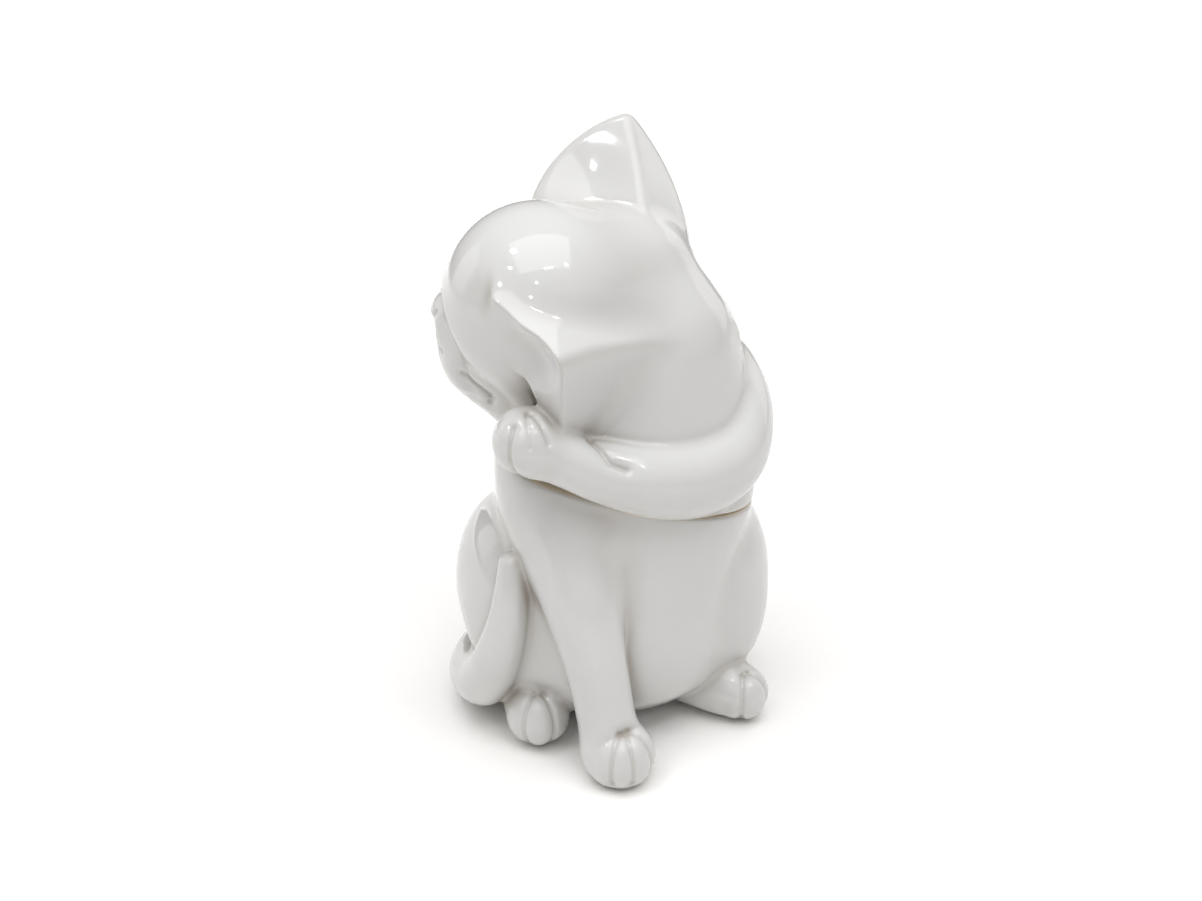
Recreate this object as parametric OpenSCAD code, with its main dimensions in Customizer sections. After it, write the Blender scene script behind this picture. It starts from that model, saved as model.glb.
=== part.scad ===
// A lidded ceramic jar in the shape of a sitting cat that rests its head on its raised foreleg.
// The cat faces -Y and +X is the viewer's right, so the cat's own right side is at -X.
// Head, neck and raised foreleg are the lid. It sits on a tilted flat seat and lifts off along the seat's normal.
// Trunk, legs, feet, tail and ears are castings of their own, joined with slip before the firing.

/* [Jar] */
// Half width of the trunk at the belly
trunk_rx = 58; // [56:0.5:60]
// Half depth of the trunk at the belly
trunk_ry = 56; // [54:0.5:57]
// Wall thickness of the castings
wall = 5.5; // [4.5:0.5:6.5]
// Radius of the foot ring at its middle
foot_ring_r = 26; // [22:1:28]
// Height of the foot ring
foot_ring_h = 2.5; // [2:0.5:4]

/* [Seat] */
// Height of the seat at its centre
seat_z = 126; // [124:1:128]
// Tilt of the seat, down towards the cat's left side
seat_tilt = 16; // [14:1:18]
// Gap between the ground rims of jar and lid
seat_gap = 0.4; // [0.3:0.1:1]
// Thickness of the ledge round the mouth, and of the lid's floor above it
ledge = 6; // [5:0.5:8]
// Radius of the mouth
mouth_r = 43; // [40:0.5:44]

/* [Collar and seal] */
// Depth of the lid's locating collar below the seat
collar_h = 12; // [10:1:15]
// Wall thickness of the collar
collar_t = 5; // [4:0.5:6]
// Gap between the collar and the mouth, all round
collar_gap = 2; // [1.5:0.25:2.5]
// Diameter of the silicone cord of the sealing ring
seal_d = 3; // [2.5:0.25:3.5]

/* [Limbs and tail] */
// Thickness of the raised foreleg, as a share of its drawn size
arm_scale = 1; // [0.95:0.01:1.03]
// Thickness of the standing foreleg, as a share of its drawn size
leg_scale = 1; // [0.95:0.01:1.03]
// Thickness of the tail, as a share of its drawn size
tail_scale = 1; // [0.9:0.01:1.03]

/* [Head] */
// Radius of the skull
skull_r = 43.5; // [42:0.5:45]
// Radius of the ears' rims
ear_rim_r = 3; // [2.5:0.25:4]

/* [Hidden] */
white = [0.93, 0.92, 0.90];
bisque = [0.86, 0.81, 0.73];
silicone = [0.90, 0.91, 0.92];
big = 400;
tiny = 0.01;
round_fn = 96;
trunk_sides = 44;
trunk_steps = 3;
limb_steps = 3;

seat_at = [8, 10, seat_z];
collar_r = mouth_r - collar_gap;
// The sealing ring's groove is half its cord deep, and its outside clears the mouth by this much
seal_clear = 0.3;
seal_ring_r = mouth_r - seal_clear - seal_d / 2;
seal_depth = collar_h / 2;

foot_at = [3, 25];
// Trunk and neck as upright ovals: [x, y, z, half width, half depth]
trunk_ovals = [
    [3, 25, foot_ring_h, trunk_rx - 22, trunk_ry - 27],
    [3, 21, 7, trunk_rx - 13, trunk_ry - 19],
    [3, 17, 15, trunk_rx - 6, trunk_ry - 11],
    [3, 13, 28, trunk_rx - 1, trunk_ry - 3],
    [3, 11, 50, trunk_rx, trunk_ry],
    [4, 10, 80, trunk_rx, trunk_ry - 2],
    [7, 10, 105, trunk_rx + 3, trunk_ry - 4],
    [8, 10, 125, trunk_rx + 3.5, trunk_ry - 5],
    [8, 10, 145, trunk_rx + 2.5, trunk_ry - 6],
    [9, 11, 163, trunk_rx - 3, trunk_ry - 9],
    [9, 13, 182, trunk_rx - 11, trunk_ry - 16],
    [7, 15, 196, trunk_rx - 24, trunk_ry - 28],
];
// Haunches as a thigh and a knee, mirrored about the plane x = haunch_mid
thigh_at = [42.5, 21, 64];
thigh_r = [34, 46, 48];
knee_at = [40, 3, 40];
knee_r = [25, 25, 27];
haunch_mid = 4.5;

// Head as balls: [x, y, z, radius]
skull = [-32.5, 7, 212.5, skull_r];
nape_top = [15, 17, 223, 27];
nape = [17, 13, 190, 38];
muzzle = [-66, 8, 205, 14.5];
cheek = [-50, 7, 187, 23.5];
jaw = [-39, 9, 163, 16];

// Hollow of the left ear's inner side
ear_cup = [-59, -52, 198];
ear_cup_r = 24;

// Limbs and tail as balls along their middle line: [x, y, z, radius]
standing_leg = [
    [-30, -11, 130, 20], [-29, -17, 116, 20], [-26, -26, 100, 20], [-23, -38, 80, 17], [-19, -47, 54, 13.5],
    [-15, -51, 30, 13], [-12, -54, 17, 15], [-9, -60, 14.5, 14.5]
];
right_hind_toes = [[-37, 14, 15, 15], [-39, -3, 16, 16], [-40, -15, 16, 16], [-41, -22, 15, 15]];
left_hind_toes = [[37, -1, 14, 14], [47, -11, 15, 15], [55, -18, 14.5, 14.5], [59, -22, 13.5, 13.5]];
tail_line = [
    [3, 61, 17, 14], [-32, 57, 16, 14], [-55, 41, 15.5, 14], [-64, 21, 17, 13.5], [-63, -3, 26, 13],
    [-59, -18, 46, 11.5], [-54, -22, 70, 9], [-51, -19, 95, 6.5]
];
raised_arm = [
    [49, 31, 176, 14], [56, 17, 166, 16.5], [57, 1, 153, 18], [49, -17, 141, 18.5], [32, -29, 137, 19],
    [11, -37, 140, 17], [-11, -40, 147, 14], [-27, -39, 154, 12.5], [-39, -36, 160, 13], [-45, -34, 164, 13.5]
];

// Point on the smooth curve through the points p, a share t of the way from point i to the next
function along(p, i, t) =
    let (last = len(p) - 1, a = p[max(i - 1, 0)], b = p[i], c = p[min(i + 1, last)], d = p[min(i + 2, last)])
    b + 0.5 * t * ((c - a) + t * ((2 * a - 5 * b + 4 * c - d) + t * (3 * b - a - 3 * c + d)));
function curve(p, steps) = [
    for (i = [0 : len(p) - 2]) for (s = [0 : steps - 1]) along(p, i, s / steps),
    p[len(p) - 1]
];
function span(p, first, last) = [for (i = [first : last]) p[i]];

module ball(at, r, n = 24) {
    translate(at) scale(is_list(r) ? r : [r, r, r]) sphere(1, $fn = n);
}
module bead(b, inset = 0, n = 24) { ball([b[0], b[1], b[2]], b[3] - inset, n); }
// Round tube of changing thickness through the balls of a line
module limb(line, thickness = 1, n = 22) {
    p = curve(line, limb_steps);
    for (i = [0 : len(p) - 2])
        hull() {
            ball([p[i][0], p[i][1], p[i][2]], p[i][3] * thickness, n);
            ball([p[i + 1][0], p[i + 1][1], p[i + 1][2]], p[i + 1][3] * thickness, n);
        }
}
module seat_frame() { translate(seat_at) rotate([0, seat_tilt, 0]) children(); }
module below_seat(drop = 0) { seat_frame() translate([0, 0, -big / 2 - drop]) cube(big, center = true); }
module above_seat(rise = 0) { seat_frame() translate([0, 0, big / 2 + rise]) cube(big, center = true); }
// Prism on the rim's oval, square to the seat and up to the lid's rim: what hangs below the rim stays outside it
module rim_prism(depth, spare) {
    seat_frame() translate([0, 0, -depth]) linear_extrude(depth + seat_gap + tiny)
        scale([trunk_rx + 5 + spare, trunk_ry - 4 + spare]) circle(1, $fn = 64);
}

// Upright body that bulges evenly round a run of ovals
module barrel(ovals, inset) {
    hull() for (s = curve(ovals, trunk_steps))
        translate([s[0], s[1], s[2] + inset]) scale([s[3] - inset, s[4] - inset, 1])
            cylinder(h = tiny, r = 1, $fn = trunk_sides);
}
module trunk_mass(inset = 0) {
    barrel(span(trunk_ovals, 0, 5), inset);
    barrel(span(trunk_ovals, 5, 7), inset);
    barrel(span(trunk_ovals, 7, len(trunk_ovals) - 1), inset);
}
module haunch(side, inset = 0) {
    hull() {
        ball([haunch_mid + side * thigh_at[0], thigh_at[1], thigh_at[2]], thigh_r - [inset, inset, inset], 36);
        ball([haunch_mid + side * knee_at[0], knee_at[1], knee_at[2]], knee_r - [inset, inset, inset]);
    }
}
module trunk_and_haunches(inset = 0) {
    trunk_mass(inset);
    haunch(-1, inset);
    haunch(1, inset);
}
module jar_outside() {
    intersection() {
        trunk_and_haunches();
        below_seat();
    }
}
module head_mass(inset = 0) {
    hull() {
        bead(skull, inset, 40);
        bead(nape_top, inset);
        bead(nape, inset, 32);
    }
    hull() {
        bead(skull, inset, 40);
        bead(muzzle, inset);
        bead(cheek, inset);
    }
    hull() {
        bead(cheek, inset);
        bead(jaw, inset);
        bead(nape, inset, 32);
    }
}
module lid_outside() {
    intersection() {
        union() {
            trunk_mass();
            head_mass();
        }
        above_seat(seat_gap);
    }
}

module jar_body() {
    color(white) difference() {
        jar_outside();
        intersection() {
            trunk_and_haunches(wall);
            below_seat(ledge);
        }
        seat_frame() cylinder(h = 4 * ledge, r = mouth_r, center = true, $fn = round_fn);
    }
}
module foot_ring() {
    color(bisque) translate([foot_at[0], foot_at[1], 0]) difference() {
        cylinder(h = foot_ring_h, r = foot_ring_r + wall / 2, $fn = round_fn);
        translate([0, 0, -1]) cylinder(h = foot_ring_h + 2, r = foot_ring_r - wall / 2, $fn = round_fn);
    }
}
module right_foreleg() {
    color(white) difference() {
        intersection() {
            limb(standing_leg, leg_scale);
            below_seat(collar_h);
        }
        jar_outside();
    }
}
module right_hind_foot() {
    color(white) difference() {
        limb(right_hind_toes);
        jar_outside();
    }
}
module left_hind_foot() {
    color(white) difference() {
        limb(left_hind_toes);
        jar_outside();
    }
}
module tail() {
    color(white) difference() {
        limb(tail_line, tail_scale);
        jar_outside();
        limb(right_hind_toes);
        limb(standing_leg, leg_scale);
    }
}
module lid_head() {
    color(white) difference() {
        lid_outside();
        intersection() {
            union() {
                trunk_mass(wall);
                head_mass(wall);
            }
            above_seat(seat_gap + ledge);
        }
        seat_frame() cylinder(h = 4 * ledge, r = collar_r - collar_t, center = true, $fn = round_fn);
    }
}
module left_foreleg() {
    color(white) difference() {
        limb(raised_arm, arm_scale);
        lid_outside();
        rim_prism(3 * collar_h, 1);
    }
}
module right_ear() {
    color(white) difference() {
        union() {
            hull() {
                ball([-30, 25, 249], ear_rim_r);
                ball([-24, 28, 263], ear_rim_r);
                ball([-11, 30, 276], ear_rim_r);
                ball([9, 31, 284.5], ear_rim_r);
                ball([16, 11, 243], ear_rim_r);
            }
            hull() {
                ball([16, 11, 243], ear_rim_r);
                ball([10, 31, 284], ear_rim_r);
                ball([25, 29, 266], ear_rim_r);
                ball([34, 27, 240], ear_rim_r);
                ball([13, 39, 238], ear_rim_r);
                ball([-15, 36, 245], ear_rim_r);
            }
        }
        lid_outside();
    }
}
module left_ear() {
    color(white) difference() {
        hull() {
            ball([-56, -25, 225], ear_rim_r);
            ball([-37, -29, 227], 4);
            ball([-14, -25, 222], 4);
            ball([-46, -40, 217], ear_rim_r);
            ball([-34, -54, 208.5], ear_rim_r);
            ball([-33, -48, 193], ear_rim_r);
            ball([-32, -40, 176], ear_rim_r);
            ball([-13, -23, 218], 8);
            ball([5, -21, 206], 10);
            ball([1, -25, 194], 10);
            ball([-19, -21, 182], 8);
        }
        ball(ear_cup, ear_cup_r, 32);
        lid_outside();
        limb(raised_arm, arm_scale);
    }
}
module lid_collar() {
    color(white) seat_frame() difference() {
        translate([0, 0, -collar_h]) cylinder(h = collar_h + seat_gap, r = collar_r, $fn = round_fn);
        translate([0, 0, -collar_h - 1]) cylinder(h = collar_h + 2, r = collar_r - collar_t, $fn = round_fn);
        translate([0, 0, -seal_depth]) rotate_extrude($fn = round_fn)
            translate([seal_ring_r, 0]) circle(d = seal_d, $fn = 32);
    }
}
module seal_ring() {
    color(silicone) seat_frame() translate([0, 0, -seal_depth]) rotate_extrude($fn = round_fn)
        translate([seal_ring_r, 0]) circle(d = seal_d, $fn = 32);
}

jar_body();
foot_ring();
right_foreleg();
right_hind_foot();
left_hind_foot();
tail();
lid_head();
left_foreleg();
right_ear();
left_ear();
lid_collar();
seal_ring();
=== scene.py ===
import math

import bmesh
import bpy
import numpy as np
from mathutils import Matrix, Vector


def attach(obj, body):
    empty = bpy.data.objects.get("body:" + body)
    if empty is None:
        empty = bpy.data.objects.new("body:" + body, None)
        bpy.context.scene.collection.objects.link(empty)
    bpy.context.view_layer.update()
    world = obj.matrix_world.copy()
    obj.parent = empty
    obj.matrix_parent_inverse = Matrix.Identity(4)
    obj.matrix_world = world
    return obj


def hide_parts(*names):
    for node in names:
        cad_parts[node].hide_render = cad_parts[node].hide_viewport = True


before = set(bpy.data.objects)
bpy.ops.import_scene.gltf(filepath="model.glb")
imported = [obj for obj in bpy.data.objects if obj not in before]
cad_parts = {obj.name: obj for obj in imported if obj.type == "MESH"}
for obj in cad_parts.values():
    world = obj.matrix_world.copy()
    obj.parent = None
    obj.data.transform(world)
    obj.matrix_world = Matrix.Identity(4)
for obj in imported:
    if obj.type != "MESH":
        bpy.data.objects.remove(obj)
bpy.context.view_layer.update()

bl_info = {
    "name": "Lidded cat jar",
    "version": (1, 0, 0),
    "blender": (4, 5, 0),
    "location": "3D View > Sidebar > Cat jar",
    "description": "Glazed ceramic jar shaped as a sitting cat whose head lifts off as the lid",
    "category": "Add Mesh",
}

MM = 0.001

# ---- form of the ware, in millimetres, in the frame of the CAD model ----
# Trunk and neck as upright ovals: x, y, z, half width, half depth
TRUNK = [
    [3, 25, 2.5, 36, 29], [3, 21, 7, 45, 37], [3, 17, 15, 52, 45], [3, 13, 28, 57, 53],
    [3, 11, 50, 58, 56], [4, 10, 80, 58, 54], [7, 10, 105, 61, 52], [8, 10, 125, 61.5, 51],
    [8, 10, 145, 60.5, 50], [9, 11, 163, 55.5, 47], [9.5, 13, 182, 48, 41], [10, 15, 200, 38, 33],
    [10, 16, 216, 24, 22], [10, 16, 226, 10, 10],
]
# Middle lines of the limbs: x, y, z, radius
STANDING_LEG = [
    [-30, -11, 130, 20], [-29, -17, 116, 20], [-25.5, -26, 100, 20.5], [-22, -38, 80, 18],
    [-18, -47, 54, 14.5], [-14.5, -51, 30, 13.5], [-12, -54, 17, 15], [-9, -60, 14.5, 14.5],
]
RIGHT_TOES = [[-37, 14, 15, 15], [-39, -3, 16, 16], [-40, -15, 16, 16], [-41, -22, 15, 15]]
LEFT_TOES = [[37, -1, 14, 14], [47, -11, 15, 15], [55, -18, 14.5, 14.5], [59, -22, 13.5, 13.5]]
TAIL = [
    [3, 61, 17, 14], [-32, 57, 16, 14], [-55, 41, 15.5, 14], [-64, 21, 17, 13.5], [-63, -3, 26, 13],
    [-59, -18, 46, 11.5], [-54, -22, 70, 9], [-51, -19, 95, 6.5],
]
RAISED_ARM = [
    [49, 31, 176, 14], [56, 17, 166, 16.5], [57, 1, 153, 18], [49, -17, 141, 18.5], [32, -29, 137, 19],
    [11, -37, 140, 17], [-11, -40, 147, 14], [-27, -39, 154, 12.5], [-39, -36, 160, 13],
    [-45, -34, 164, 13.5],
]
WALL = 5.5
LEAST_WALL = 3.0
LEDGE = 6.0
MOUTH = 43.0
COLLAR_BORE = 36.0
SEAT_GAP = 0.4
SEAT_AT = np.array([8.0, 10.0, 126.0])
SEAT_TILT = math.radians(16)
SEAT_UP = np.array([math.sin(SEAT_TILT), 0, math.cos(SEAT_TILT)])
SEAT_OUT = np.array([math.cos(SEAT_TILT), 0, -math.sin(SEAT_TILT)])
FOOT_Z = 2.5
CROWN_Z = 214.0


def length(v):
    return np.sqrt((v * v).sum(-1))


def unit(v):
    v = np.array(v, float)
    return v / np.linalg.norm(v)


def melt(a, b, width):
    """Two masses luted together, the join rounded over that width."""
    over = np.maximum(width - np.abs(a - b), 0) / width
    return np.minimum(a, b) - over * over * width * 0.25


def trim(a, b, width):
    """What the two forms share, its edge rounded over that width."""
    return -melt(-a, -b, width)


def ball(p, at, r):
    return length(p - np.array(at, float)) - r


def egg(p, at, radii):
    q = p - np.array(at, float)
    radii = np.array(radii, float)
    k = length(q / radii)
    return k * (k - 1) / np.maximum(length(q / radii ** 2), 1e-9)


def taper(p, a, b):
    """Two balls, each x, y, z, radius, and the cone that touches both."""
    a = np.array(a, float)
    b = np.array(b, float)
    way = b[:3] - a[:3]
    span = way @ way
    drop = a[3] - b[3]
    rest = span - drop * drop
    q = p - a[:3]
    y = q @ way
    z = y - span
    x2 = ((q * span - way * y[..., None]) ** 2).sum(-1)
    y2, z2 = y * y * span, z * z * span
    bound = np.sign(drop) * drop * drop * x2
    side = (np.sqrt(x2 * rest / span) + y * drop) / span - a[3]
    low = np.sqrt(x2 + y2) / span - a[3]
    high = np.sqrt(x2 + z2) / span - b[3]
    return np.where(np.sign(z) * rest * z2 > bound, high, np.where(np.sign(y) * rest * y2 < bound, low, side))


def curve(line, steps):
    """Smooth curve through the rows of a line, and the four factors of each of its spans."""
    rows = np.array(line, float)
    last = len(rows) - 1
    spans = []
    for i in range(last):
        a, b, c, d = (rows[min(max(j, 0), last)] for j in (i - 1, i, i + 1, i + 2))
        spans.append([b, (c - a) / 2, (2 * a - 5 * b + 4 * c - d) / 2, (3 * b - a - 3 * c + d) / 2])
    spans = np.array(spans)
    t = np.append(np.arange(last * steps) / steps, last)
    i = np.minimum(t.astype(int), last - 1)
    s = (t - i)[:, None]
    points = spans[i, 0] + s * (spans[i, 1] + s * (spans[i, 2] + s * spans[i, 3]))
    return t, points, spans


def limb(p, line, reach=26.0, steps=6):
    """Round limb of changing thickness along a smooth curve."""
    t, points, spans = curve(line, steps)
    low = (points[:, :3] - points[:, 3:]).min(0) - reach
    high = (points[:, :3] + points[:, 3:]).max(0) + reach
    near = ((p > low) & (p < high)).all(-1)
    out = np.maximum(np.maximum(low - p, p - high).max(-1), 0) + reach
    q = p[near]
    if not len(q):
        return out
    gap = (q * q).sum(1)[:, None] - 2 * q @ points[:, :3].T + (points[:, :3] ** 2).sum(1)
    root = np.sqrt(np.maximum(gap, 0)) - points[:, 3]
    at = t[root.argmin(1)]
    last = len(spans)
    for _ in range(3):
        i = np.minimum(at.astype(int), last - 1)
        s = (at - i)[:, None]
        a, b, c, d = (spans[i, k, :3] for k in range(4))
        off = a + s * (b + s * (c + s * d)) - q
        slope = b + s * (2 * c + 3 * s * d)
        bend = 2 * c + 6 * s * d
        rise = (slope * slope).sum(1) + np.maximum((off * bend).sum(1), 0)
        at = np.clip(at - np.clip((off * slope).sum(1) / rise, -0.5, 0.5), 0, last)
    i = np.minimum(at.astype(int), last - 1)
    s = (at - i)[:, None]
    best = spans[i, 0] + s * (spans[i, 1] + s * (spans[i, 2] + s * spans[i, 3]))
    out[near] = length(q - best[:, :3]) - best[:, 3]
    return out


def groove(p, points, through, width, depth, reach=9.0):
    """How far a tooled line goes into the clay: cut along the points, pressed in along through."""
    points = np.array(points, float)
    n = unit(through)
    q = p - ((p @ n)[..., None]) * n
    best = np.full(p.shape[:-1], 1e9)
    lift = np.zeros(p.shape[:-1])
    for a, b in zip(points[:-1], points[1:]):
        a2, b2 = a - (a @ n) * n, b - (b @ n) * n
        way = b2 - a2
        t = np.clip((q - a2) @ way / (way @ way), 0, 1)
        d = length(q - a2 - t[..., None] * way)
        h = (p @ n) - (a @ n + t * ((b - a) @ n))
        better = d < best
        best = np.where(better, d, best)
        lift = np.where(better, h, lift)
    fade = np.clip((reach - np.abs(lift)) / (reach * 0.4), 0, 1)
    line = 0.55 * np.exp(-((best / width) ** 2)) + 0.45 * np.exp(-((best / (3 * width)) ** 2))
    return depth * line * fade


TRUNK_SECTIONS = curve(TRUNK, 40)[1]


def trunk(p, inset=0.0):
    z = p[..., 2]
    x, y, rx, ry = (np.interp(z, TRUNK_SECTIONS[:, 2], TRUNK_SECTIONS[:, i]) for i in (0, 1, 3, 4))
    rx, ry = rx - inset, ry - inset
    out = np.sqrt(((p[..., 0] - x) / rx) ** 2 + ((p[..., 1] - y) / ry) ** 2)
    d = trim((out - 1) * np.minimum(rx, ry), FOOT_Z + inset - z, 5.0)
    return trim(d, z - (CROWN_Z - inset), 20.0)


def haunch(p, side, inset=0.0):
    thigh = egg(p, [4.5 + side * 42.5, 21, 64], np.array([34, 46, 48]) - inset)
    knee = egg(p, [4.5 + side * 40, 3, 40], np.array([25, 25, 27]) - inset)
    return melt(thigh, knee, 18.0)


def above_seat(p):
    return (p - SEAT_AT) @ SEAT_UP


def from_seat_axis(p):
    q = p - SEAT_AT
    return length(q - ((q @ SEAT_UP)[..., None]) * SEAT_UP)


def rim_oval(p):
    q = p - SEAT_AT
    return (np.sqrt((q @ SEAT_OUT / 64) ** 2 + (q[..., 1] / 53) ** 2) - 1) * 53


def standing_leg(p):
    d = limb(p, STANDING_LEG)
    paw = egg(p, [-10, -58, 12], [15.5, 17, 13.5])
    return melt(d, paw, 6.0)


def jar_outside(p):
    z = p[..., 2]
    d = melt(trunk(p), haunch(p, -1), 6.0)
    d = melt(d, haunch(p, 1), 6.0)
    d = melt(d, standing_leg(p), np.interp(z, [60, 115], [2.0, 18]))
    d = melt(d, limb(p, RIGHT_TOES), 4.0)
    d = melt(d, limb(p, LEFT_TOES), 4.0)
    d = melt(d, limb(p, TAIL), 2.5)
    near = (z < 115) & (p[..., 1] < 0)
    for points, through, width, depth in JAR_LINES:
        d[near] += groove(p[near], points, through, width, depth)
    return trim(d, -z, 3.0)


TOE_RISES = (65, 35, 0, -35)  # degrees above level, from the top of a paw down its front
TOE_WIDTH = 1.2
UP = np.array([0.0, 0.0, 1.0])


def toe_lines(paw, heading, turns, rises=TOE_RISES, depth=2.0):
    """Partings between a paw's toes: at each turn from its heading, a line over the top and down the front."""
    at, r = np.array(paw[:3], float), paw[3]
    ahead = unit([heading[0], heading[1], 0])
    aside = np.array([-ahead[1], ahead[0], 0])
    lines = []
    for turn in np.radians(turns):
        out = math.cos(turn) * ahead + math.sin(turn) * aside
        points = [at + r * (math.cos(rise) * out + math.sin(rise) * UP) for rise in np.radians(rises)]
        lines.append((points, out + 0.5 * UP, TOE_WIDTH, depth))
    return lines


def heading_of(line):
    return np.subtract(line[-1][:3], line[-2][:3])


def leg_edge():
    """Line where the standing leg's inner side meets the front of the belly."""
    levels = [row[2] for row in TRUNK]
    fronts = [row[1] - row[4] for row in TRUNK]
    return [[x + 1.05 * r, np.interp(z, levels, fronts), z] for x, y, z, r in STANDING_LEG[2:6]]


JAR_LINES = (
    toe_lines(STANDING_LEG[-1], heading_of(STANDING_LEG), (-58, -18, 28))
    + toe_lines(RIGHT_TOES[-1], heading_of(RIGHT_TOES), (-32, 32))
    + toe_lines(LEFT_TOES[-1], heading_of(LEFT_TOES), (-60, 15))
    + [(leg_edge(), [0.2, -0.95, 0.1], 2.0, 1.2)]
)


def jar_ware(p):
    d = trim(jar_outside(p), above_seat(p), 2.4)
    hollow = melt(trunk(p, WALL), haunch(p, -1, WALL), 6.0)
    hollow = melt(hollow, haunch(p, 1, WALL), 6.0)
    hollow = trim(hollow, above_seat(p) + LEDGE, 3.0)
    hollow = melt(hollow, np.maximum(from_seat_axis(p) - MOUTH, -above_seat(p) - 3 * LEDGE), 1.0)
    return trim(d, -hollow, 1.8)


SKULL = [-32.5, 7, 212.5]


def head(p, inset=0.0):
    back = taper(p, [14.5, 17, 220, 25 - inset], [18.5, 13, 189, 36 - inset])
    d = melt(trunk(p, inset), back, 22.0)
    return melt(d, ball(p, SKULL, 43.3 - inset), 24.0)


def face(p):
    d = taper(p, [-66, 14, 205, 14], [-51, 14, 188, 23])
    return melt(d, taper(p, [-51, 14, 188, 23], [-39, 11, 163, 16]), 10.0)


# Right ear: its own frame, across, up along it and out of its hollow side
EAR_AT = np.array([3.0, 26.0, 243.0])
EAR_ACROSS = unit([0.978, -0.208, 0])
EAR_OUT = unit([-0.188, -0.886, 0.423])
EAR_UP = np.cross(EAR_OUT, EAR_ACROSS)


def right_ear(p):
    q = p - EAR_AT
    x, y, v = q @ EAR_ACROSS, q @ EAR_UP, q @ EAR_OUT
    dish = 2.2 * np.exp(-(((x + 8) / 15) ** 2) - ((y - 17) / 17) ** 2)
    wide = (v - (0.266 * x - 0.212 * y + 7.6) + dish) / 1.057
    narrow = (v - (-0.982 * x - 0.415 * y + 28.0)) / 1.462
    back = -(v + 17 + 0.05 * x - 0.17 * y) / 1.02
    d = trim(wide, narrow, 2.5)
    d = trim(d, back, 4.0)
    d = trim(d, length(np.stack([x - 20.8, y + 11], -1)) - 58.5, 3.5)
    d = trim(d, length(np.stack([x + 65.2, y + 23.7], -1)) - 103, 3.5)
    return trim(d, -28 - y, 2.0)


# Left ear, folded down beside the cheek: the start, bend and tip of its rim, its root, and a point of its crease
EAR_START, EAR_BEND, EAR_TIP, EAR_ROOT, EAR_CREASE = np.array([
    [-58, -28, 226.5], [-35, -58, 210.5], [-30.5, -35.5, 154], [35, -10, 186], [-20, -31, 229]], float)
EAR_MIDDLE = (EAR_START + EAR_BEND + EAR_TIP + EAR_ROOT) / 4
EAR_CUP = [-59, -52, 198, 24]  # ball that hollows the left ear's inner side: x, y, z, radius
EAR_TURN = unit([0.45, -0.5, 0.74])


def flank(p, a, b, c):
    """Distance outside the plane through three corners of the left ear."""
    n = unit(np.cross(b - a, c - a))
    if n @ (EAR_MIDDLE - a) > 0:
        n = -n
    return (p - a) @ n - 0.6


def ear_back(p):
    top = trim(flank(p, EAR_START, EAR_BEND, EAR_CREASE), (p - EAR_BEND) @ EAR_TURN, 14.0)
    return trim(top, flank(p, EAR_BEND, EAR_TIP, EAR_ROOT), 5.0)


def left_ear(p):
    d = trim(ear_back(p), flank(p, EAR_START, EAR_BEND, EAR_TIP), 2.0)
    d = trim(d, flank(p, EAR_START, EAR_TIP, EAR_ROOT), 2.0)
    return trim(d, -ball(p, EAR_CUP[:3], EAR_CUP[3]), 2.0)


def raised_arm(p):
    d = limb(p, RAISED_ARM)
    paw = egg(p, RAISED_PAW[:3], [14, 15, 14.5])
    d = melt(d, paw, 6.0)
    under = np.maximum(above_seat(p) - SEAT_GAP, rim_oval(p))
    return trim(d, -under, 1.6)


def lid_plain(p):
    """The lid's outside before its lines are tooled."""
    d = melt(head(p), face(p), 2.0)
    d = melt(d, right_ear(p), 4.0)
    d = melt(d, left_ear(p), 5.0)
    d = trim(d, -above_seat(p) + SEAT_GAP, 2.4)
    return melt(d, raised_arm(p), 3.0)


# The face's own frame, rolled over as the head lies: from the nose, across to the right eye and down to the chin
FACE_ROLL = math.radians(39)
FACE_ACROSS = np.array([0, math.cos(FACE_ROLL), math.sin(FACE_ROLL)])
FACE_DOWN = np.array([0, math.sin(FACE_ROLL), -math.cos(FACE_ROLL)])
NOSE = np.array([-81.0, 10.0, 208.0])
EYE_APART = 26.5
EYE_DOWN = 21.0
MOUTH_DOWN = 8.0


def face_line(places, width, depth):
    """A line tooled in the face: drawn straight on, laid back onto the clay, and pressed in square to it."""
    p = np.array([NOSE + across * FACE_ACROSS + down * FACE_DOWN for across, down in places])
    for _ in range(80):
        p[:, 0] += np.clip(lid_plain(p), -2, 2)
    middle = p[len(p) // 2]
    slope = [(lid_plain(middle[None] + step) - lid_plain(middle[None] - step))[0] for step in 0.5 * np.eye(3)]
    return (p, slope, width, depth)


def face_arc(across, down, radius, start, stop):
    """Points of an arc on the face; turns run from across to down."""
    turns = np.radians(np.linspace(start, stop, 6))
    return [(across + radius * math.cos(turn), down + radius * math.sin(turn)) for turn in turns]


def arm_place(along, rise):
    """A point on the front of the raised arm: so many rows along it, at a rise from level."""
    x, y, z, r = [np.interp(along, range(len(RAISED_ARM)), column) for column in zip(*RAISED_ARM)]
    rise = math.radians(rise)
    return [x, y - r * math.cos(rise), z + r * math.sin(rise)]


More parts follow.
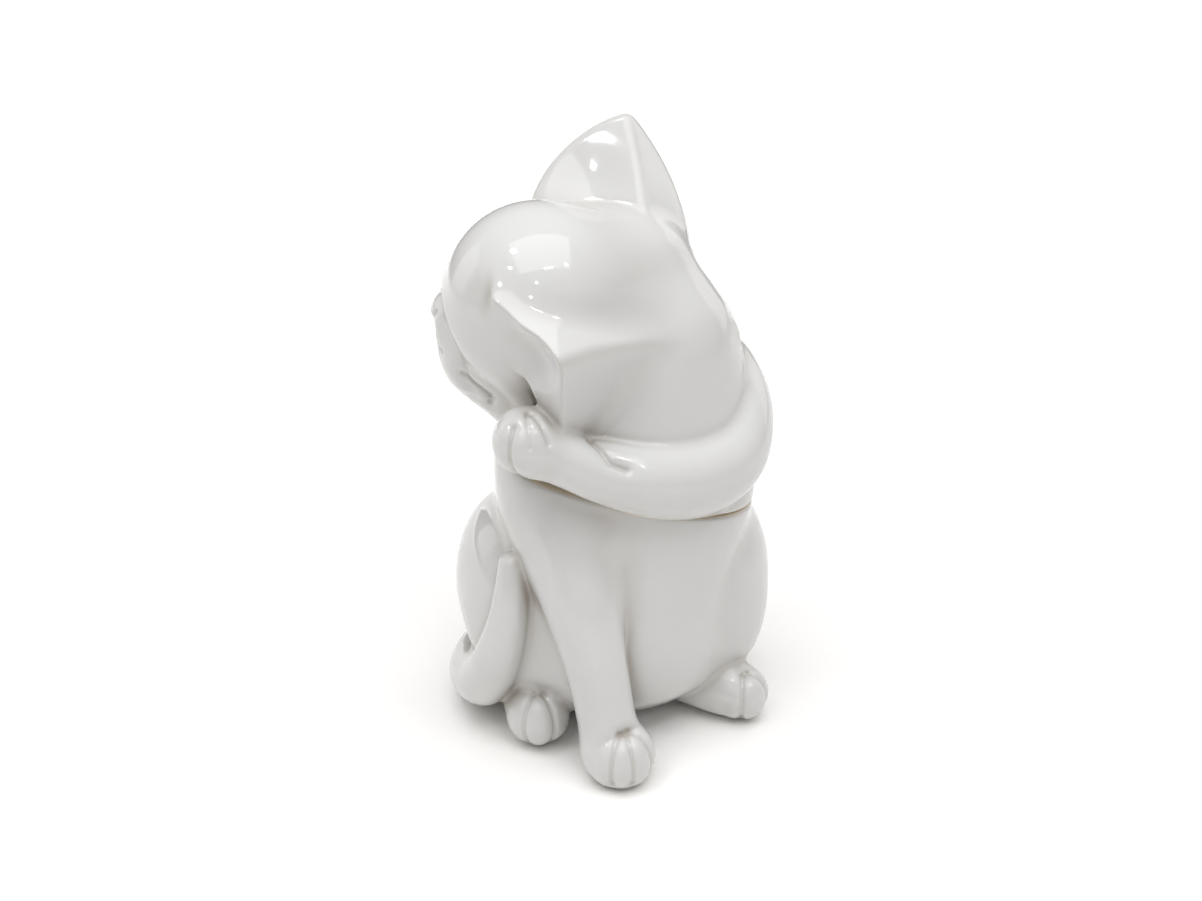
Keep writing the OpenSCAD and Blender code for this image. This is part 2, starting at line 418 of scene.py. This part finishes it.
RAISED_PAW = [-46, -35, 163, 14.5]
FRONT = [0, -1]
BROW_R = 28.5
EYE_R = 9
UNDER_EYE_R = 5
LIP_R = 7
LID_LINES = (
    toe_lines(RAISED_PAW, FRONT, (-42,), (45, 5, -50), 2.2)
    + toe_lines(RAISED_PAW, FRONT, (-4, 30), (75, 45, 15), 1.4)
    # fold where the forearm meets the paw's heel
    + [([arm_place(6.5, 85), arm_place(6.3, 65), arm_place(6.1, 42), arm_place(5.75, 35)],
        [0, -0.8, 0.6], 1.5, 3.0),
       # brow, from over the nose to the left eye
       face_line(face_arc(0, EYE_DOWN + 1, BROW_R, -80, -160), 1.3, 1.6),
       # closed eyes, and the soft hollow under the left lid
       face_line(face_arc(-EYE_APART, EYE_DOWN, EYE_R, -90, -192), 1.2, 2.4),
       face_line(face_arc(EYE_APART, EYE_DOWN, EYE_R, -90, 12), 1.2, 2.4),
       face_line(face_arc(-EYE_APART, EYE_DOWN, UNDER_EYE_R, -108, -215), 2.4, 1.4),
       # mouth
       face_line([(0, 0), (0, MOUTH_DOWN)], 1.2, 1.8),
       face_line(face_arc(-LIP_R, MOUTH_DOWN, LIP_R, 0, 140), 1.2, 1.8),
       face_line(face_arc(LIP_R, MOUTH_DOWN, LIP_R, 180, 40), 1.2, 1.8)]
)


def lid_outside(p):
    d = lid_plain(p)
    for points, through, width, depth in LID_LINES:
        d += groove(p, points, through, width, depth)
    return d


def lid_ware(p):
    hollow = trim(head(p, WALL), -above_seat(p) + SEAT_GAP + LEDGE, 3.0)
    bore = np.maximum(from_seat_axis(p) - COLLAR_BORE, above_seat(p) - 3 * LEDGE)
    outside = lid_outside(p)
    hollow = melt(trim(hollow, outside + LEAST_WALL, 2.0), bore, 1.0)
    return trim(outside, -hollow, 1.8)


def gradient(form, p, step=0.2):
    """Value of a form at each point, and its slope."""
    value = 0
    slope = np.zeros_like(p)
    for corner in ((1, -1, -1), (-1, 1, -1), (-1, -1, 1), (1, 1, 1)):
        corner = np.array(corner, float)
        here = form(p + corner * step)
        value = value + here / 4
        slope += here[:, None] * corner / (4 * step)
    return value, slope


# ---- meshes ----


def fired_copy(names, pads):
    """One bmesh of the named CAD nodes, each node's loose triangles joined up first, and of round pads of clay.
    A pad is its centre, its half sizes and the directions of its first two."""
    whole = bmesh.new()
    for at, sizes, first, second in pads:
        turn = Matrix([first, second, np.cross(first, second)]).transposed().to_4x4()
        place = Matrix.Translation(Vector(at) * MM) @ turn @ Matrix.Diagonal([*(Vector(sizes) * MM), 1])
        bmesh.ops.create_icosphere(whole, subdivisions=4, radius=1.0, matrix=place)
    for name in names:
        part = bmesh.new()
        part.from_mesh(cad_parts[name].data)
        bmesh.ops.remove_doubles(part, verts=part.verts, dist=0.01 * MM)
        mesh = bpy.data.meshes.new("part")
        part.to_mesh(mesh)
        part.free()
        whole.from_mesh(mesh)
        bpy.data.meshes.remove(mesh)
    return whole


def applied(obj):
    """The object's mesh with its modifiers worked in."""
    graph = bpy.context.evaluated_depsgraph_get()
    graph.update()
    mesh = bpy.data.meshes.new_from_object(obj.evaluated_get(graph))
    obj.modifiers.clear()
    old = obj.data
    obj.data = mesh
    bpy.data.meshes.remove(old)
    mesh.name = obj.name


def remesh(obj, grain):
    skin = obj.modifiers.new("clay", "REMESH")
    skin.mode = "VOXEL"
    skin.voxel_size = grain
    skin.adaptivity = 0
    applied(obj)


def points_of(mesh):
    co = np.empty(len(mesh.vertices) * 3, np.float32)
    mesh.vertices.foreach_get("co", co)
    return co.reshape(-1, 3).astype(float) / MM


def sculpt(mesh, form, rounds, relax, blank=False):
    """Draws the mesh onto the form's surface, with its vertices kept evenly spaced.
    A blank is still rough: each of its points goes on along its own normal until the form faces the same way."""
    p = points_of(mesh)
    facing = np.empty(len(p) * 3, np.float32)
    mesh.vertex_normals.foreach_get("vector", facing)
    facing = facing.reshape(-1, 3).astype(float)
    ends = np.empty(len(mesh.edges) * 2, np.int32)
    mesh.edges.foreach_get("vertices", ends)
    ends = ends.reshape(-1, 2)
    tail_of = np.concatenate([ends[:, 0], ends[:, 1]])
    head_of = np.concatenate([ends[:, 1], ends[:, 0]])
    count = np.maximum(np.bincount(tail_of, minlength=len(p)), 1)[:, None]
    for turn in range(rounds + 2):
        value, slope = gradient(form, p)
        steep = np.maximum((slope * slope).sum(1), 0.05)
        move = -np.clip(value / steep, -3, 3)[:, None] * slope
        if blank:
            astray = (facing * slope).sum(1) < -0.1 * np.sqrt(steep)
            move[astray] = 1.3 * facing[astray]
        if turn < rounds:
            middle = np.stack([np.bincount(tail_of, p[head_of, i], len(p)) for i in range(3)], 1) / count
            pull = (middle - p) * relax
            n = slope / np.sqrt(steep)[:, None]
            move += pull - ((pull * n).sum(1)[:, None]) * n
        p = p + move
    mesh.vertices.foreach_set("co", (p * MM).astype(np.float32).ravel())
    mesh.update()
    return p


def refine(obj, form, angle):
    """Splits the faces where the surface turns sharply, so that rims and tooled lines come out crisp."""
    slope = gradient(form, points_of(obj.data))[1]
    n = slope / np.maximum(length(slope), 1e-6)[:, None]
    limit = math.cos(angle)
    bm = bmesh.new()
    bm.from_mesh(obj.data)
    bm.verts.index_update()
    chosen = set()
    for face in bm.faces:
        normals = n[[v.index for v in face.verts]]
        if (normals @ normals.T).min() < limit:
            chosen.update(face.edges)
    bmesh.ops.subdivide_edges(bm, edges=list(chosen), cuts=1, use_grid_fill=True)
    bm.to_mesh(obj.data)
    bm.free()


def note(mesh, name, values):
    """Stores a number for each vertex, for the material to read."""
    layer = mesh.attributes.get(name) or mesh.attributes.new(name, "FLOAT", "POINT")
    layer.data.foreach_set("value", values.astype(np.float32))


BLANK_GRAIN = 1.3  # the blank is coarser than the finished skin
CRISP_TURN = math.radians(16)  # faces whose corners turn more than this are split
SHADE_NEAR = 2.5  # reach, in mm, of the narrow creases darkened with painted shade
SHADE_FAR = 9.0  # and of the wide ones


def ware(name, body, nodes, pads, form, grain, material):
    """A fired and glazed body in one piece, over the CAD nodes that were luted together for it."""
    bm = fired_copy([n for n in nodes if n not in PADDED], pads)
    mesh = bpy.data.meshes.new(name)
    bm.to_mesh(mesh)
    bm.free()
    obj = bpy.data.objects.new(name, mesh)
    bpy.context.scene.collection.objects.link(obj)
    remesh(obj, grain * BLANK_GRAIN)
    sculpt(obj.data, form, 12, 0.5, blank=True)
    remesh(obj, grain)
    sculpt(obj.data, form, 5, 0.5, blank=True)
    refine(obj, form, CRISP_TURN)
    p = sculpt(obj.data, form, 3, 0.3)
    slope = gradient(form, p)[1]
    n = slope / np.maximum(length(slope), 1e-6)[:, None]
    # painted shade: the more a point is shut in by the surface nearby, near and far, the greyer its glaze, standing
    # in for shade in creases and recesses
    near = (SHADE_NEAR - form(p + SHADE_NEAR * n)) / SHADE_NEAR
    far = (SHADE_FAR - form(p + SHADE_FAR * n)) / SHADE_FAR
    note(obj.data, "painted_shade", np.clip(0.7 * near + 0.5 * far, 0, 1))
    lift = above_seat(p)
    level = np.clip((np.abs(n @ SEAT_UP) - 0.75) / 0.15, 0, 1)
    rim = level * np.clip((1.2 - np.minimum(np.abs(lift), np.abs(lift - SEAT_GAP))) / 0.5, 0, 1)
    foot = np.clip((1.0 - p[:, 2]) / 0.5, 0, 1)
    note(obj.data, "bare", np.maximum(rim, foot))
    obj.data.polygons.foreach_set("use_smooth", np.ones(len(obj.data.polygons), bool))
    obj.data.materials.clear()
    obj.data.materials.append(material)
    obj.data.update()
    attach(obj, body)
    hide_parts(*nodes)
    return obj


PADDED = ("right_ear",)
LID_PADS = [
    (EAR_AT + 12 * EAR_UP - 3 * EAR_OUT, (33, 36, 12), EAR_ACROSS, EAR_UP),
]


# ---- materials ----


def linear(hex_colour):
    """sRGB hex colour as linear RGBA."""
    parts = [int(hex_colour[i:i + 2], 16) / 255 for i in (1, 3, 5)]
    return [c / 12.92 if c <= 0.04045 else ((c + 0.055) / 1.055) ** 2.4 for c in parts] + [1.0]


def add(tree, kind, inputs=None, **settings):
    """Adds a node with its settings; an input is a value, or the socket that feeds it."""
    made = tree.nodes.new(kind)
    for key, value in settings.items():
        setattr(made, key, value)
    for key, value in (inputs or {}).items():
        if isinstance(value, bpy.types.NodeSocket):
            tree.links.new(value, made.inputs[key])
        else:
            made.inputs[key].default_value = value
    return made


def fresh_material(name):
    material = bpy.data.materials.new(name)
    material.use_nodes = True
    tree = material.node_tree
    tree.nodes.clear()
    return material, tree


def per_mm(size):
    """Scale of a pattern whose marks are that many millimetres apart, on coordinates in metres."""
    return 1 / (size * MM)


def glaze_material(colours):
    """White tin glaze on cast earthenware: thick, glassy and a little uneven, with painted shade greying it in
    creases.
    """
    material, tree = fresh_material("tin_glazed_earthenware")
    where = add(tree, "ShaderNodeTexCoord").outputs["Object"]
    painted_shade = add(tree, "ShaderNodeAttribute", attribute_name="painted_shade").outputs["Fac"]
    bare = add(tree, "ShaderNodeAttribute", attribute_name="bare").outputs["Fac"]
    # thickness of the glaze wanders over some 35 mm, and shows as a faint warm and cool drift
    drift = add(tree, "ShaderNodeTexNoise", {"Vector": where, "Scale": per_mm(35), "Detail": 2.0}).outputs["Fac"]
    body = add(tree, "ShaderNodeMix", {0: drift, 6: linear(colours.glaze_hex), 7: linear(colours.thin_hex)},
               data_type="RGBA").outputs[2]
    # painted shade: the glaze turns towards the grey crease colour where the surface is shut in
    shade = add(tree, "ShaderNodeMapRange", {0: painted_shade, 1: 0.0, 2: 0.9, 3: 0.0, 4: 1.0}).outputs[0]
    shaded_glaze = add(tree, "ShaderNodeMix", {0: shade, 6: body, 7: linear(colours.painted_shade_hex)},
                 data_type="RGBA").outputs[2]
    colour = add(tree, "ShaderNodeMix", {0: bare, 6: shaded_glaze, 7: linear(colours.bisque_hex)},
                 data_type="RGBA").outputs[2]
    gloss = add(tree, "ShaderNodeMapRange", {0: drift, 1: 0.3, 2: 0.7, 3: 0.05, 4: 0.1}).outputs[0]
    rough = add(tree, "ShaderNodeMix", {0: bare, 2: gloss, 3: 0.8}, data_type="FLOAT").outputs[0]
    # orange peel: the glaze's surface lies in soft waves about 9 mm long and a few hundredths deep
    waves = add(tree, "ShaderNodeTexNoise", {"Vector": where, "Scale": per_mm(9), "Detail": 1.0}).outputs["Fac"]
    peel = add(tree, "ShaderNodeBump", {"Height": waves, "Strength": 0.35, "Distance": 0.12 * MM})
    grit = add(tree, "ShaderNodeTexNoise", {"Vector": where, "Scale": per_mm(0.7), "Detail": 3.0}).outputs["Fac"]
    sandy = add(tree, "ShaderNodeBump", {"Height": grit, "Strength": bare, "Distance": 0.15 * MM,
                                         "Normal": peel.outputs["Normal"]})
    surface = add(tree, "ShaderNodeBsdfPrincipled", {
        "Base Color": colour, "Roughness": rough, "Normal": sandy.outputs["Normal"], "IOR": 1.52,
    })
    add(tree, "ShaderNodeOutputMaterial", {"Surface": surface.outputs["BSDF"]})
    return material


def bisque_material(colours):
    """Unglazed earthenware, ground flat after firing: chalky, pale buff, with fine grit and darker specks."""
    material, tree = fresh_material("ground_bisque_earthenware")
    where = add(tree, "ShaderNodeTexCoord").outputs["Object"]
    clouds = add(tree, "ShaderNodeTexNoise", {"Vector": where, "Scale": per_mm(14), "Detail": 4.0}).outputs["Fac"]
    body = add(tree, "ShaderNodeMix", {0: clouds, 6: linear(colours.bisque_hex), 7: linear(colours.bisque_dark_hex)},
               data_type="RGBA").outputs[2]
    cells = add(tree, "ShaderNodeTexVoronoi", {"Vector": where, "Scale": per_mm(2.2)}).outputs["Distance"]
    speck = add(tree, "ShaderNodeMapRange", {0: cells, 1: 0.05, 2: 0.16, 3: 0.55, 4: 0.0}).outputs[0]
    colour = add(tree, "ShaderNodeMix", {0: speck, 6: body, 7: linear(colours.speck_hex)},
                 data_type="RGBA").outputs[2]
    grit = add(tree, "ShaderNodeTexNoise", {"Vector": where, "Scale": per_mm(0.6), "Detail": 3.0}).outputs["Fac"]
    sandy = add(tree, "ShaderNodeBump", {"Height": grit, "Strength": 0.5, "Distance": 0.12 * MM})
    rough = add(tree, "ShaderNodeMapRange", {0: grit, 1: 0.3, 2: 0.7, 3: 0.75, 4: 0.92}).outputs[0]
    surface = add(tree, "ShaderNodeBsdfPrincipled", {
        "Base Color": colour, "Roughness": rough, "Normal": sandy.outputs["Normal"], "IOR": 1.5,
    })
    add(tree, "ShaderNodeOutputMaterial", {"Surface": surface.outputs["BSDF"]})
    return material


def silicone_material(colours):
    """Moulded clear silicone: milky and satin, with a soft bloom of dust."""
    material, tree = fresh_material("moulded_clear_silicone")
    where = add(tree, "ShaderNodeTexCoord").outputs["Object"]
    bloom = add(tree, "ShaderNodeTexNoise", {"Vector": where, "Scale": per_mm(3), "Detail": 3.0}).outputs["Fac"]
    colour = add(tree, "ShaderNodeMix", {0: bloom, 6: linear(colours.silicone_hex), 7: linear(colours.bloom_hex)},
                 data_type="RGBA").outputs[2]
    rough = add(tree, "ShaderNodeMapRange", {0: bloom, 1: 0.3, 2: 0.7, 3: 0.3, 4: 0.45}).outputs[0]
    surface = add(tree, "ShaderNodeBsdfPrincipled", {
        "Base Color": colour, "Roughness": rough, "IOR": 1.41, "Subsurface Weight": 0.3,
        "Subsurface Radius": (0.002, 0.002, 0.002),
    })
    add(tree, "ShaderNodeOutputMaterial", {"Surface": surface.outputs["BSDF"]})
    return material


def floor_material(colours):
    """Matt white painted board: even, with only the faintest mottling."""
    material, tree = fresh_material("matt_white_board")
    where = add(tree, "ShaderNodeTexCoord").outputs["Object"]
    mottle = add(tree, "ShaderNodeTexNoise", {"Vector": where, "Scale": per_mm(80), "Detail": 3.0}).outputs["Fac"]
    colour = add(tree, "ShaderNodeMix", {0: mottle, 6: linear(colours.floor_hex), 7: linear("#FDFCFA")},
                 data_type="RGBA").outputs[2]
    surface = add(tree, "ShaderNodeBsdfPrincipled", {"Base Color": colour, "Roughness": 0.9})
    add(tree, "ShaderNodeOutputMaterial", {"Surface": surface.outputs["BSDF"]})
    return material


# ---- stage ----

CAMERA_AIM = Vector((-4, 9, 135)) * MM
CAMERA_TURN = math.radians(-12)
CAMERA_RISE = math.radians(25)
CAMERA_AWAY = 0.775
LENS = 50.0
SENSOR = 36.0


def aimed(obj, place, aim):
    obj.location = place
    obj.rotation_euler = (Vector(aim) - Vector(place)).to_track_quat("-Z", "Y").to_euler()


def softbox(name, place, aim, size, watts, colour="#FFFFFF", spread=math.pi):
    light = bpy.data.lights.new(name, "AREA")
    light.shape = "RECTANGLE"
    light.size, light.size_y = size
    light.energy = watts
    light.spread = spread
    light.color = linear(colour)[:3]
    obj = bpy.data.objects.new(name, light)
    bpy.context.scene.collection.objects.link(obj)
    aimed(obj, place, aim)
    return obj


# ---- the add-on ----


class CatJarSizes(bpy.types.PropertyGroup):
    jar_grain: bpy.props.FloatProperty(
        name="Jar grain", description="Spacing of the jar's surface mesh",
        default=1.6 * MM, min=1.0 * MM, max=4 * MM, unit="LENGTH")
    lid_grain: bpy.props.FloatProperty(
        name="Lid grain", description="Spacing of the lid's surface mesh",
        default=1.4 * MM, min=0.9 * MM, max=4 * MM, unit="LENGTH")
    floor_size: bpy.props.FloatProperty(
        name="Floor size", description="Width of the square floor it stands on",
        default=8.0, min=1.0, max=30.0, unit="LENGTH")


class CatJarColours(bpy.types.PropertyGroup):
    glaze_hex: bpy.props.StringProperty(
        name="Glaze", description="sRGB colour of the white glaze", default="#D7D7D6")
    thin_hex: bpy.props.StringProperty(
        name="Thin glaze", description="sRGB colour where the glaze is thinner", default="#D2D1CF")
    # colour of the painted shade laid into creases and recesses
    painted_shade_hex: bpy.props.StringProperty(
        name="Painted crease shade", description="sRGB colour of the shade painted into creases", default="#B3ADA4")
    bisque_hex: bpy.props.StringProperty(
        name="Bisque", description="sRGB colour of the bare clay", default="#D8C9B2")
    bisque_dark_hex: bpy.props.StringProperty(
        name="Bisque, darker", description="sRGB colour of the bare clay's darker clouds", default="#CBB492")
    speck_hex: bpy.props.StringProperty(
        name="Specks", description="sRGB colour of the specks in the clay", default="#9A7F60")
    silicone_hex: bpy.props.StringProperty(
        name="Silicone", description="sRGB colour of the sealing ring", default="#DDE1E2")
    bloom_hex: bpy.props.StringProperty(
        name="Silicone bloom", description="sRGB colour of the dust on the sealing ring", default="#EEF0F0")
    floor_hex: bpy.props.StringProperty(
        name="Floor", description="sRGB colour of the floor", default="#FAF9F6")


def material_named(name, maker):
    return bpy.data.materials.get(name) or maker(bpy.context.scene.cat_jar_colours)


class CATJAR_OT_jar(bpy.types.Operator):
    """Makes the jar: trunk, haunches, standing foreleg, hind feet and tail in one glazed piece"""
    bl_idname = "cat_jar.jar"
    bl_label = "Jar ware"

    def execute(self, context):
        ware("jar_ware", "jar", ["jar_body", "right_foreleg", "right_hind_foot", "left_hind_foot", "tail"],
             [], jar_ware, context.scene.cat_jar_sizes.jar_grain,
             material_named("tin_glazed_earthenware", glaze_material))
        return {"FINISHED"}


class CATJAR_OT_lid(bpy.types.Operator):
    """Makes the lid: shoulders, head, ears and raised foreleg in one glazed piece"""
    bl_idname = "cat_jar.lid"
    bl_label = "Lid ware"

    def execute(self, context):
        ware("lid_ware", "lid", ["lid_head", "left_foreleg", "right_ear", "left_ear"],
             LID_PADS, lid_ware, context.scene.cat_jar_sizes.lid_grain,
             material_named("tin_glazed_earthenware", glaze_material))
        return {"FINISHED"}


class CATJAR_OT_fittings(bpy.types.Operator):
    """Finishes the foot ring, the lid's collar and the sealing ring"""
    bl_idname = "cat_jar.fittings"
    bl_label = "Foot ring, collar and seal"

    def execute(self, context):
        bisque = material_named("ground_bisque_earthenware", bisque_material)
        silicone = material_named("moulded_clear_silicone", silicone_material)
        for name, material in (("foot_ring", bisque), ("lid_collar", bisque), ("seal_ring", silicone)):
            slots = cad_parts[name].material_slots
            if not slots:
                raise RuntimeError("no material slot on " + name)
            for slot in slots:
                slot.material = material
        return {"FINISHED"}


class CATJAR_OT_stage(bpy.types.Operator):
    """Sets the floor, the soft lights and the camera"""
    bl_idname = "cat_jar.stage"
    bl_label = "Stage"

    def execute(self, context):
        scene = context.scene
        bm = bmesh.new()
        bmesh.ops.create_grid(bm, x_segments=1, y_segments=1, size=scene.cat_jar_sizes.floor_size / 2)
        mesh = bpy.data.meshes.new("floor")
        bm.to_mesh(mesh)
        bm.free()
        floor = bpy.data.objects.new("floor", mesh)
        scene.collection.objects.link(floor)
        mesh.materials.append(material_named("matt_white_board", floor_material))

        world = bpy.data.worlds.new("studio")
        world.use_nodes = True
        tree = world.node_tree
        tree.nodes.clear()
        way = add(tree, "ShaderNodeTexCoord").outputs["Generated"]
        height = add(tree, "ShaderNodeSeparateXYZ", {"Vector": way}).outputs["Z"]
        rise = add(tree, "ShaderNodeMapRange", {0: height, 1: 0.12, 2: 1.0, 3: 0.0, 4: 1.0}).outputs[0]
        sky = add(tree, "ShaderNodeMix", {0: rise, 6: linear("#453D34"), 7: linear("#FBFCFF")},
                  data_type="RGBA").outputs[2]
        seen = add(tree, "ShaderNodeLightPath").outputs["Is Camera Ray"]
        sky = add(tree, "ShaderNodeMix", {0: seen, 6: sky, 7: linear("#FAF9F6")}, data_type="RGBA").outputs[2]
        glow = add(tree, "ShaderNodeBackground", {"Color": sky, "Strength": 1.0})
        add(tree, "ShaderNodeOutputWorld", {"Surface": glow.outputs["Background"]})
        scene.world = world
        scene.view_settings.view_transform = "Standard"

        middle = CAMERA_AIM
        softbox("top_softbox", (0.0, -0.35, 1.5), middle, (1.5, 1.1), 11)
        softbox("rim_softbox_right", (1.2, 0.6, 0.6), middle, (0.7, 0.9), 2)
        softbox("rim_softbox_left", (-1.2, 0.7, 0.6), middle, (0.7, 0.9), 2)
        softbox("floor_softbox", (0.0, 1.9, 2.2), (0.0, 1.9, 0.0), (4.0, 1.4), 30, spread=math.radians(60))
        for name, place, size, watts in (
                ("lamp_left", (-0.75, -0.45, 1.15), (0.10, 0.06), 0.8),
                ("lamp_left_back", (-0.55, -0.1, 1.3), (0.12, 0.12), 0.9),
                ("lamp_front", (0.1, -0.8, 1.3), (0.26, 0.04), 0.8),
                ("lamp_front_low", (-0.25, -1.0, 1.0), (0.05, 0.05), 0.4),
                ("lamp_right", (0.5, -0.6, 1.2), (0.05, 0.10), 0.5)):
            softbox(name, place, middle, size, watts)

        place = CAMERA_AIM + CAMERA_AWAY * Vector((
            math.sin(CAMERA_TURN) * math.cos(CAMERA_RISE),
            -math.cos(CAMERA_TURN) * math.cos(CAMERA_RISE),
            math.sin(CAMERA_RISE)))
        lens = bpy.data.cameras.new("camera")
        lens.lens = LENS
        lens.sensor_width = SENSOR
        lens.clip_end = 50
        camera = bpy.data.objects.new("camera", lens)
        scene.collection.objects.link(camera)
        aimed(camera, place, CAMERA_AIM)
        scene.camera = camera
        return {"FINISHED"}


class CATJAR_PT_panel(bpy.types.Panel):
    """Lists the operators in the 3D view's sidebar"""
    bl_idname = "CATJAR_PT_panel"
    bl_label = "Lidded cat jar"
    bl_space_type = "VIEW_3D"
    bl_region_type = "UI"
    bl_category = "Cat jar"

    def draw(self, context):
        for group in (context.scene.cat_jar_sizes, context.scene.cat_jar_colours):
            for name in group.__annotations__:
                self.layout.prop(group, name)
        for operator in OPERATORS:
            self.layout.operator(operator.bl_idname)


OPERATORS = (CATJAR_OT_stage, CATJAR_OT_jar, CATJAR_OT_lid, CATJAR_OT_fittings)
CLASSES = (CatJarSizes, CatJarColours) + OPERATORS + (CATJAR_PT_panel,)


def register():
    for made in CLASSES:
        bpy.utils.register_class(made)
    bpy.types.Scene.cat_jar_sizes = bpy.props.PointerProperty(type=CatJarSizes)
    bpy.types.Scene.cat_jar_colours = bpy.props.PointerProperty(type=CatJarColours)


def unregister():
    del bpy.types.Scene.cat_jar_colours
    del bpy.types.Scene.cat_jar_sizes
    for made in reversed(CLASSES):
        bpy.utils.unregister_class(made)


def main():
    register()
    bpy.ops.cat_jar.stage()
    bpy.ops.cat_jar.jar()
    bpy.ops.cat_jar.lid()
    bpy.ops.cat_jar.fittings()


if __name__ == "__main__":
    main()
